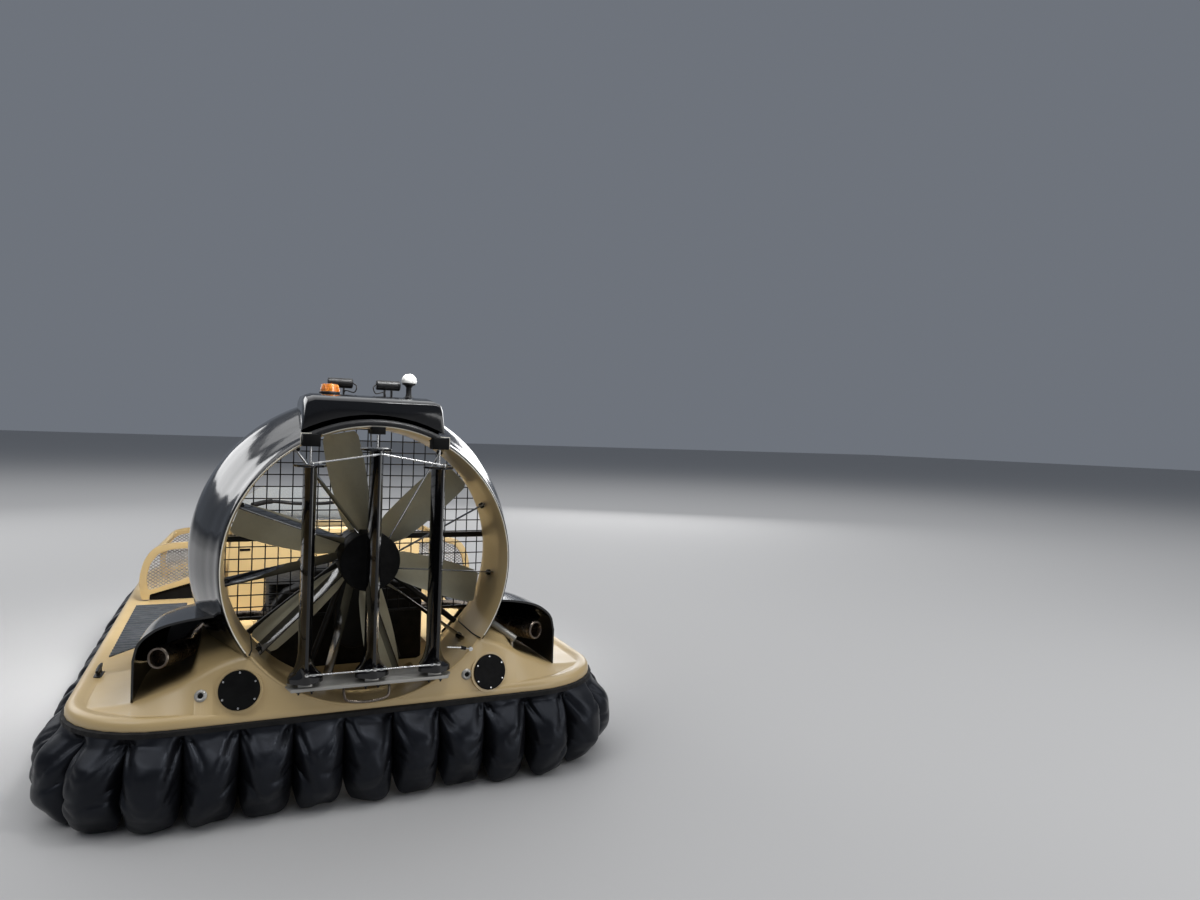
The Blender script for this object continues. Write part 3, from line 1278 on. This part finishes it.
# %% Drain bungs
def transom_y(x, z):
    ridge_y, ridge_z, _ = smooth(HUMP, abs(x))
    edge = stern_edge(x) + 2
    return edge + (z - 345) / (ridge_z - 355) * (ridge_y - 14 - edge)


def on_transom(x, z, reach=5):
    """A place on the transom and the way out of it."""
    along = (transom_y(x + reach, z) - transom_y(x - reach, z)) / (2 * reach)
    rise = (transom_y(x, z + reach) - transom_y(x, z - reach)) / (2 * reach)
    return place(x, transom_y(x, z), z), Vector((along, -1, rise)).normalized()


for side, x, z in (("port", -562, 431.5), ("starboard", 365, 428)):
    at, way = on_transom(x, z)
    dress(turned(f"bung_{side}", at, way, [
        (9, -8), (21, -8), (21, 1.5), (18, 5), (14, 7), (10.5, 6), (9, 3)], 48), aluminium)
    dress(turned(f"bung_centre_{side}", at, way, [
        (0, -8), (8.7, -8), (8.7, 2), (6, 3.5), (0, 3.5)], 32), dull_black)

# %% [markdown]
# Where the bore of the duct breaks through the transom, the moulding is rolled over. A tube along
# that curve gives a full round edge, which a bevel on a sawn edge wouldn't hold.

# %% Rolled edge of the bore
LIP_REACH = math.radians(53)
lip_path = [(512 * math.sin(t), DUCT_Z - 512 * math.cos(t)) for t in steps(-LIP_REACH, LIP_REACH, 72)]
dress(tubes("bore_lip", [[place(x, transom_y(x, z) + 3, z) for x, z in lip_path]], 5.5, sand_gelcoat, 14),
      sand_gelcoat)

# %% [markdown]
# A mooring cleat is a foot, two posts and a horn. A function makes it, because the craft has four.

# %% Cleats on the side decks
def cleat(name, x, y):
    foot = eased(block("foot", x - 15, x + 15, y - 42, y + 42, DECK_Z, DECK_Z + 5), 2, 2)
    posts = [turned("post", place(x, y + o, DECK_Z), (0, 0, 1), [
        (0, 0), (10, 0), (7, 8), (7, 26), (0, 26)], 20) for o in (-20, 20)]
    horn = turned("horn", place(x, y, DECK_Z + 28), (0, 1, 0), [
        (0, -62), (5, -60), (8, -26), (8, 26), (5, 60), (0, 62)], 20)
    return dress(joined(name, [foot, *posts, horn]), satin_paint)


for side, s in SIDES:
    cleat(f"cleat_aft_{side}", s * 936, 625)
    cleat(f"cleat_fore_{side}", s * 700, 3260)

# %% [markdown]
# ## Side decks and pods
#
# Outside the cockpit a ribbed sheet gives grip, and ahead of it stand the pods: sand-coloured
# hoops with expanded metal screens. The screen is a grid of diamonds that overlap at their corners,
# kept only where the opening is.

# %% Non-slip panels
RIB_PITCH, RIB_SHAPE = 46, ((0, 1.4), (4, 5.6), (23, 5.6), (27, 1.4))


def grip_inner(y):
    return 935 - min(max((y - 878) / 392, 0), 1) * 245


for side, s in SIDES:
    rings = []
    for rib in range(23):
        for along, height in RIB_SHAPE:
            y, z = 884 + rib * RIB_PITCH + along, DECK_Z + height
            xs = (s * 935, s * grip_inner(y))
            rings.append([place(xs[0], y, DECK_Z + 0.3), place(xs[1], y, DECK_Z + 0.3),
                          place(xs[1], y, z), place(xs[0], y, z)])
    dress(loft(f"grip_panel_{side}", rings), nonslip, instead=[f"nonslip_{side}"])

# %% [markdown]
# Each side pod has two flat hoops tied by rails. A hoop is a rounded outline, cut through where
# the screen and the vent are, and its edges are eased.

# %% Pod hoops
HOOP_OUTER = ((925, 366), (938, 500), (917, 592), (890, 640), (855, 672), (790, 688), (690, 694),
              (490, 698), (490, 366))
HOOP_SCREEN = ((893, 424), (902, 500), (884, 578), (838, 638), (770, 656), (526, 664), (526, 545),
               (690, 492))
HOOP_VENT = ((885, 366), (885, 404), (690, 459), (526, 505), (526, 366))
POD_HOOPS = ((2050, 1.0), (2760, 0.89))
HOOP_DEPTH = 34


def hoop_x(x, width):
    return 490 + (x - 490) * width


def hoop_slab(name, outline, s, width, y0, y1, cut=24):
    path = rounded([(s * hoop_x(x, width), z) for x, z in outline], cut, 5, True)
    return loft(name, [[place(x, y, z) for x, z in path] for y in (y0, y1)])


for side, s in SIDES:
    parts = []
    for y, width in POD_HOOPS:
        made = hoop_slab("hoop", HOOP_OUTER, s, width, y, y + HOOP_DEPTH, 40)
        carve(made, [hoop_slab("screen", HOOP_SCREEN, s, width, y - 5, y + HOOP_DEPTH + 5),
                     hoop_slab("vent", HOOP_VENT, s, width, y - 5, y + HOOP_DEPTH + 5, 12),
                     full_width("deck", 1900, 3000, 0, 377.6)])
        parts.append(eased(made, 7, 3, 50))
    front_y, front_width = POD_HOOPS[1]
    rails = tubes("rails", [[place(s * x, 2060, z), place(s * hoop_x(x, front_width), front_y + 20, z)]
                            for x, z in ((848, 658), (508, 680))], 13, sand_gelcoat, 20)
    dress(joined(f"pod_hoops_{side}", [*parts, rails]), sand_gelcoat, instead=[f"pod_frame_{side}"])

# %% [markdown]
# The opening under the slanting rail of the rear hoop is closed by a thin black panel. It is the
# vent's own outline, given a thickness.

# %% Dark panels behind the vents
for side, s in SIDES:
    y = POD_HOOPS[0][0]
    panel = hoop_slab(f"vent_panel_{side}", HOOP_VENT, s, 1.0, y + 18, y + 22, 12)
    carve(panel, [full_width("deck", 1900, 3000, 0, 371)])
    dress(panel, dull_black)

# %% [markdown]
# Expanded metal is a sheet that is slit and stretched. A texture with holes would look flat from
# the side, so one diamond ring is repeated over the opening. It is a little wider than its cell,
# so that the strands join.

# %% Expanded metal screens
CELL_WIDE, CELL_HIGH, STRAND = 26.0, 18.0, 3.2


def diamond():
    """One cell of the mesh: a flat ring of four strands."""
    corners = [Vector((CELL_WIDE / 2, 0)), Vector((0, CELL_HIGH / 2)), Vector((-CELL_WIDE / 2, 0)),
               Vector((0, -CELL_HIGH / 2))]
    rings = []
    for scale, depth in ((1.06, 0), (1.06, 2.4), (1 - 2.6 * STRAND / CELL_WIDE, 2.4),
                         (1 - 2.6 * STRAND / CELL_WIDE, 0)):
        rings.append([Vector((c.x * scale, depth, c.y * scale)) / 1000 for c in corners])
    return loft("diamond", rings, hoop=True)


def inside(outline, x, z):
    hit = False
    for (x0, z0), (x1, z1) in zip(outline, (*outline[1:], outline[0])):
        if (z0 > z) != (z1 > z) and x < (x1 - x0) * (z - z0) / (z1 - z0) + x0:
            hit = not hit
    return hit


for side, s in SIDES:
    cells = []
    for y, width in POD_HOOPS:
        outline = [(hoop_x(x, width), z) for x, z in HOOP_SCREEN]
        for row in range(26):
            for column in range(18):
                x = 520 + CELL_WIDE * (column + 0.5 * (row % 2))
                z = 420 + CELL_HIGH / 2 * row
                if inside(outline, x, z):
                    cells.append((place(s * x, y + HOOP_DEPTH / 2, z), Euler((0, 0, 0))))
    made = repeat(f"pod_screen_{side}", diamond(), cells, expanded_metal)
    dress(made, expanded_metal, instead=[f"pod_mesh_{side}"])

# %% [markdown]
# ## Cockpit, bow and the pieces that keep their CAD form
#
# These pieces are right as they are drawn, so each keeps its shape, gets eased edges and its own
# finish. The seat pads are the exception: they are upholstered, so their sides crown and pull in.

# %% Eased pieces
EASED = (
    # node, finish, edge in mm, body
    ("cockpit_coaming", sand_gelcoat, 8, "hull"), ("rear_bulkhead", sand_gelcoat, 8, "hull"),
    ("dashboard", satin_paint, 12, "hull"), ("windscreen", clear_sheet, 2, "hull"),
    ("bow_hatch", sand_gelcoat, 3, "bow_hatch"), ("steering_column", satin_paint, 3, "hull"),
    ("engine_block", casting, 14, "hull"), ("landing_runners", satin_paint, 5, "hull"))
for node_name, finish, width, body in EASED:
    dress(eased(copy_of(node_name, f"{node_name}_piece"), width, 3), finish, body,
          instead=[node_name])

# %% [markdown]
# The engine is mostly hidden, so its solid is a plain block. A few fittings give it the look of an
# engine from a step away: covers, an air filter, an alternator, cooling fins and rubber hoses with
# their clips.

# %% Engine fittings
covers = [eased(block("cover", low, low + 120, 680, 1060, 694, 742), 16, 4) for low in (-190, 70)]
drum = turned("drum", place(0, 640, 765), (0, 1, 0), [
    (0, 0), (50, 0), (58, 8), (58, 24), (61, 26), (61, 34), (58, 36), (58, 190), (50, 198), (0, 198)], 40)
alternator = turned("alternator", place(250, 640, 640), (0, 1, 0), [
    (0, -24), (24, -24), (24, -4), (66, 0), (70, 10), (70, 110), (60, 120), (0, 120)], 40)
dress(joined("engine_covers", [*covers, drum, alternator]), casting)
fins = [eased(block("fin", -326, 326, 700, 1150, z, z + 5), 2, 2) for z in range(470, 680, 16)]
ribs = [eased(block("rib", x, x + 9, 640, 1152, 190, 440), 3, 2) for x in (-240, -120, -4, 112, 231)]
dress(joined("engine_fins", [*fins, *ribs]), casting)
hoses = [bent([place(*p) for p in way]) for way in (
    ((0, 838, 765), (0, 900, 770), (40, 960, 764), (60, 1010, 735)),
    ((-240, 1130, 620), (-250, 1190, 600), (-200, 1230, 520), (-120, 1240, 400)),
    ((-318, 700, 420), (-345, 720, 460), (-345, 900, 480), (-300, 1000, 560)))]
dress(tubes("engine_hoses", hoses, 19, rubber, 20), rubber)
clips = [turned("clip", place(*p), way, [(19.5, -6), (21.5, -6), (21.5, 6), (19.5, 6)], 28)
         for p, way in (((0, 870, 768), (0, 1, 0)), ((-250, 1168, 610), (0.1, 0.9, -0.4)))]
dress(joined("hose_clips", clips), steel)

# %% [markdown]
# The seat is foam under vinyl. The cover is blown up a little by cloth simulation with air pressure
# and no gravity, and no point may move further than a set reach, so the sides crown and pull in
# between the corners but the pad stays in its place. The channels come afterwards, because
# remeshing would erase them.

# %% Seat pads
def stuffed(made, reach, pressure=4.0, voxel=0.009, frames=14):
    even = made.modifiers.new("even", "REMESH")
    even.mode, even.voxel_size = "VOXEL", voxel
    settle(made)
    rest = [v.co.copy() for v in made.data.vertices]
    air = made.modifiers.new("air", "CLOTH")
    air.settings.use_pressure = True
    air.settings.uniform_pressure_force = pressure
    air.settings.effector_weights.gravity = 0
    air.settings.quality = 4
    for step in range(1, frames + 1):
        bpy.context.scene.frame_set(step)
    settle(made)
    bpy.context.scene.frame_set(1)
    for vert, home in zip(made.data.vertices, rest):
        move = vert.co - home
        if move.length > reach:
            vert.co = home + move * (reach / move.length)
    return made


# %% [markdown]
# A channel is where the cover is stitched down to the foam. Points near its line are pressed in
# along their normals, and one subdivision softens the result.

# %% Sewn channels
def sewn(made, axis, lines, depth=0.005, width=0.007):
    """Presses sewn channels into the face that shows."""
    inward = [-vert.normal for vert in made.data.vertices]
    for vert, way in zip(made.data.vertices, inward):
        near = min(abs(vert.co[axis] - line) for line in lines)
        vert.co += way * depth * math.exp(-(near / width) ** 2)
    smooth_out = made.modifiers.new("soft", "SUBSURF")
    smooth_out.levels = smooth_out.render_levels = 1
    return settle(made)


# %% [markdown]
# The bench's solid is sawn into a moulded base and a cushion, and the backrest is a pad of its
# own. Both pads start with well-rounded edges, as foam has.

# %% Cushion and backrest
PAD_BASE_Z = 384
bench_base = carve(copy_of("seat_bench", "seat_base"), [full_width("top", 1500, 2700, PAD_BASE_Z - 2, 600)])
dress(eased(bench_base, 10, 3), sand_gelcoat, instead=["seat_bench"])
cushion = carve(copy_of("seat_bench", "seat_cushion"), [full_width("low", 1500, 2700, 0, PAD_BASE_Z)])
backrest = copy_of("seat_back", "seat_backrest")
for pad, axis, lines in ((cushion, 1, [place(0, y, 0).y for y in range(1760, 2560, 115)]),
                         (backrest, 2, [z / 1000 for z in (560, 640, 720)])):
    sewn(stuffed(eased(pad, 24, 4), 0.009), axis, lines)
    dress(pad, vinyl, instead=["seat_back"] if pad == backrest else (), angle=80)

# %% [markdown]
# The cockpit has a rubber trim on its coaming, and gauges and switches on its dashboard. A gauge
# is a steel ring round a dark dial with a needle, and nothing is written on it.

# %% Cockpit fittings
trims = [[place(s * 452, y, z) for y, z in ((1546, 643), (2000, 628), (3040, 652))] for _, s in SIDES]
dress(tubes("coaming_trim", trims, 8, rubber, 16), rubber)
dress(eased(block("bulkhead_slot", -437, -387, 1497.5, 1501, 715, 727), 1.2, 2), dull_black)
bezels, dials = [], []
for x, radius in ((0, 42), (-115, 30), (115, 30)):
    at = place(x, 2901, 612)
    bezels.append(turned("bezel", at, (0, -1, 0), [
        (radius - 6, -1), (radius, -1), (radius, 5), (radius - 3, 8), (radius - 6, 5)], 40))
    dials.append(turned("dial", at, (0, -1, 0), [
        (0, -1), (radius - 6.2, -1), (radius - 6.2, 2), (0, 2)], 40))
    dials.append(eased(block("needle", x - 1, x + 1, 2896.5, 2898.5, 606, 610 + 0.5 * radius), 0.4, 1))
dress(joined("gauge_bezels", bezels), steel)
dress(joined("gauge_dials", dials), dull_black)
SWITCH = [(0, 0), (9, 0), (9, 4), (4, 5), (4, 16), (0, 16)]
switches = [turned("switch", place(x, 2901, 585), (0, -1, 0), SWITCH, 20)
            for x in (-250, -215, -180, 180, 215, 250)]
dress(joined("dash_switches", switches), dull_black)

# %% [markdown]
# The lid turns on two short pins on the foredeck, each with a leaf ahead of it. The latch rides
# with the lid.

# %% Lid hinges and latch
HINGE_X, HINGE_Y, HINGE_Z = (-130, 130), 3582, 602
pins = tubes("pins", [[place(x - 24, HINGE_Y, HINGE_Z), place(x + 24, HINGE_Y, HINGE_Z)] for x in HINGE_X],
             6, steel, 16)
leaves = [eased(block("leaf", x - 20, x + 20, HINGE_Y + 2, HINGE_Y + 34, HINGE_Z - 9, HINGE_Z - 5), 1, 2)
          for x in HINGE_X]
dress(joined("lid_hinges", [pins, *leaves]), steel)
dress(eased(block("lid_latch", -22, 22, 3262, 3292, 674, 684), 3, 2), satin_paint, "bow_hatch")

# %% [markdown]
# The handlebar is one bent tube in a clamp, with rubber grips and a throttle lever. They all ride
# on the handlebar's body, so that they turn together.

# %% Handlebar
bar_path = bent([place(*p) for p in (
    (-360, 2610, 850), (-240, 2690, 866), (-90, 2722, 850), (90, 2722, 850), (240, 2690, 866),
    (360, 2610, 850))])
clamp = turned("clamp", place(0, 2725, 812), place(0, 2716, 866) - place(0, 2725, 812), [
    (0, 0), (27, 0), (30, 3), (30, 52), (27, 55), (0, 55)], 32)
dress(joined("handlebar_tube", [tubes("bar", [bar_path], 12, satin_paint, 20), clamp]), satin_paint,
      "handlebar", instead=["handlebar"])
dress(tubes("handlebar_grips", [bar_path[:9], bar_path[-9:]], 16, rubber, 24), rubber, "handlebar")
lever = bent([place(262, 2688, 862), place(290, 2660, 846), place(345, 2635, 836)])
dress(tubes("throttle_lever", [lever], 4, steel, 12), steel, "handlebar")

# %% [markdown]
# The lower hull and the rub rail are simple shapes that show as they are packed, so they only get
# a finish.

# %% Nodes that are shown as they are
for node_name, finish in (("hull_lower", sand_gelcoat), ("rub_rail", rubber)):
    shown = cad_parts[node_name]
    shown.data.materials.clear()
    shown.data.materials.append(finish)

# %% [markdown]
# ## Studio
#
# A plain pale floor and large soft lights stand in for the open sky, so that the gloss shows as
# long soft reflections rather than sparkle.

# %% Floor, world and lights
FLOOR_HALF, FLOOR_Z = 90, -0.001
corners = [(x * FLOOR_HALF, y * FLOOR_HALF, FLOOR_Z) for x, y in ((-1, -1), (1, -1), (1, 1), (-1, 1))]
floor = solid("studio_floor", corners, [(0, 1, 2, 3)])
floor_finish = bpy.data.materials.new("pale floor")
floor_finish.use_nodes = True
floor_skin = floor_finish.node_tree.nodes["Principled BSDF"]
floor_skin.inputs["Base Color"].default_value = (0.52, 0.515, 0.51, 1)
floor_skin.inputs["Roughness"].default_value = 0.85
floor.data.materials.append(floor_finish)

world = bpy.data.worlds.new("studio")
world.use_nodes = True
world.node_tree.nodes["Background"].inputs["Color"].default_value = (0.78, 0.86, 1.0, 1)
world.node_tree.nodes["Background"].inputs["Strength"].default_value = 0.2
bpy.context.scene.world = world
bpy.context.scene.view_settings.view_transform = "Standard"

# %% [markdown]
# One very large light overhead is the open sky. Weaker ones from behind the camera fill the stern,
# two low ones ahead of the bow draw an edge of light along the gloss, and a narrow one reaches
# into the cockpit.

# %% Lights
LIGHTS = (
    # name, place, target, width, height, power
    ("key", (-4.5, -3.5, 5.5), (0, -1, 0.5), 4.0, 3.0, 48),
    ("fill", (5.5, -4.6, 3.2), (0, -0.5, 0.5), 3.5, 3.0, 58),
    ("low", (2.8, -6.2, 0.9), (0, -1.5, 0.8), 2.4, 1.3, 26),
    ("cockpit", (0.9, -2.1, 3.3), (0, -0.5, 0.6), 1.4, 1.0, 24),
    ("rim port", (-5.5, 7.0, 4.2), (0, -1.5, 1.2), 6.0, 2.5, 110),
    ("rim starboard", (6.0, 8.0, 2.6), (0.4, -1.5, 1.2), 5.0, 2.0, 110),
    ("sky", (0, 2.0, 12.0), (0, 1, 0), 30.0, 26.0, 2350))
COCKPIT_SPREAD = math.radians(50)
for name, at, target, width, height, power in LIGHTS:
    lamp = bpy.data.lights.new(name, "AREA")
    lamp.shape, lamp.size, lamp.size_y, lamp.energy = "RECTANGLE", width, height, power
    lamp.spread = COCKPIT_SPREAD if name == "cockpit" else math.pi
    holder = piece(name, lamp)
    holder.location = at
    holder.visible_camera = False
    holder.rotation_euler = (Vector(target) - Vector(at)).to_track_quat("-Z", "Y").to_euler()

# %% [markdown] The box of the dressed craft is written beside the CAD box, so that the two can be
# compared.
